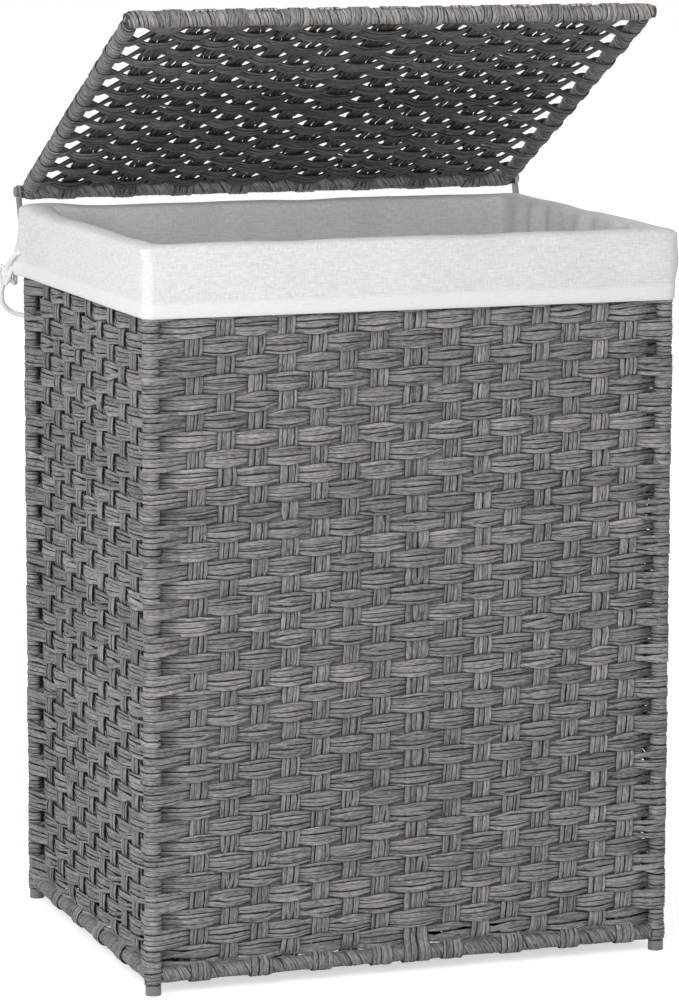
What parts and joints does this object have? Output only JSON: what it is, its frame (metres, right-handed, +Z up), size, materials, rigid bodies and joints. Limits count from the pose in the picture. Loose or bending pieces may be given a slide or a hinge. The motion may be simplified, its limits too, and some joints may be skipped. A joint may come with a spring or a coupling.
{
  "type": "laundry hamper",
  "caption": "Tall rectangular woven hamper on short feet, with a hinged woven lid held part open and a cloth liner folded over the rim.",
  "frame": {"origin": "on the floor, under the middle of the hamper without its tie cord, with the lid as stored", "axes": "+Z up, -Y towards the front, +X to the right seen from the front; the lid's hinge is at +Y"},
  "size_m": [0.4751, 0.3693, 0.7786],
  "materials": {
    "weft_strand": "ribbed, satin",
    "stake_strand": "ribbed, satin",
    "wound_strand": "ribbed, satin",
    "frame_steel": "powder coated",
    "hinge_steel": "zinc plated",
    "foot_cap": "translucent, moulded",
    "liner_cloth": "plain woven cotton and linen",
    "tie_cotton": "woven tape"
  },
  "bodies": {
    "basket": {"post_front_left": "frame_steel", "post_front_right": "frame_steel", "post_rear_left": "frame_steel", "post_rear_right": "frame_steel", "foot_front_left": "foot_cap", "foot_front_right": "foot_cap", "foot_rear_left": "foot_cap", "foot_rear_right": "foot_cap", "post_wrap_front_left": "wound_strand", "post_wrap_front_right": "wound_strand", "post_wrap_rear_left": "wound_strand", "post_wrap_rear_right": "wound_strand", "rim_rod_front": "frame_steel", "rim_rod_rear": "frame_steel", "rim_rod_left": "frame_steel", "rim_rod_right": "frame_steel", "rim_wrap_front": "wound_strand", "rim_wrap_rear": "wound_strand", "rim_wrap_left": "wound_strand", "rim_wrap_right": "wound_strand", "base_rod_front": "frame_steel", "base_rod_rear": "frame_steel", "base_rod_left": "frame_steel", "base_rod_right": "frame_steel", "base_wrap_front": "wound_strand", "base_wrap_rear": "wound_strand", "base_wrap_left": "wound_strand", "base_wrap_right": "wound_strand", "stakes_front": "stake_strand", "stakes_rear": "stake_strand", "stakes_left": "stake_strand", "stakes_right": "stake_strand", "wefts_front": "weft_strand", "wefts_rear": "weft_strand", "wefts_left": "weft_strand", "wefts_right": "weft_strand", "centre_rods": "frame_steel", "floor_rods": "frame_steel", "floor_stakes": "stake_strand", "floor_wefts": "weft_strand", "hinge_lug_left": "hinge_steel", "hinge_lug_right": "hinge_steel", "liner_bag": "liner_cloth", "liner_cuff": "liner_cloth", "liner_hem": "liner_cloth", "tie_cord": "tie_cotton", "tie_knot": "tie_cotton"},
    "lid": {"lid_rod_front": "frame_steel", "lid_rod_rear": "frame_steel", "lid_rod_left": "frame_steel", "lid_rod_right": "frame_steel", "lid_rod_centre": "frame_steel", "lid_wrap_front": "wound_strand", "lid_wrap_rear": "wound_strand", "lid_wrap_left": "wound_strand", "lid_wrap_right": "wound_strand", "lid_stakes": "stake_strand", "lid_wefts": "weft_strand", "hinge_pins": "hinge_steel"}
  },
  "joints": [
    {"name": "lid_hinge", "type": "hinge", "parent": "basket", "child": "lid", "pos_m": [0, 0.1755, 0.612], "axis": [-1, 0, 0], "range_deg": [-28.3, 77]}
  ]
}
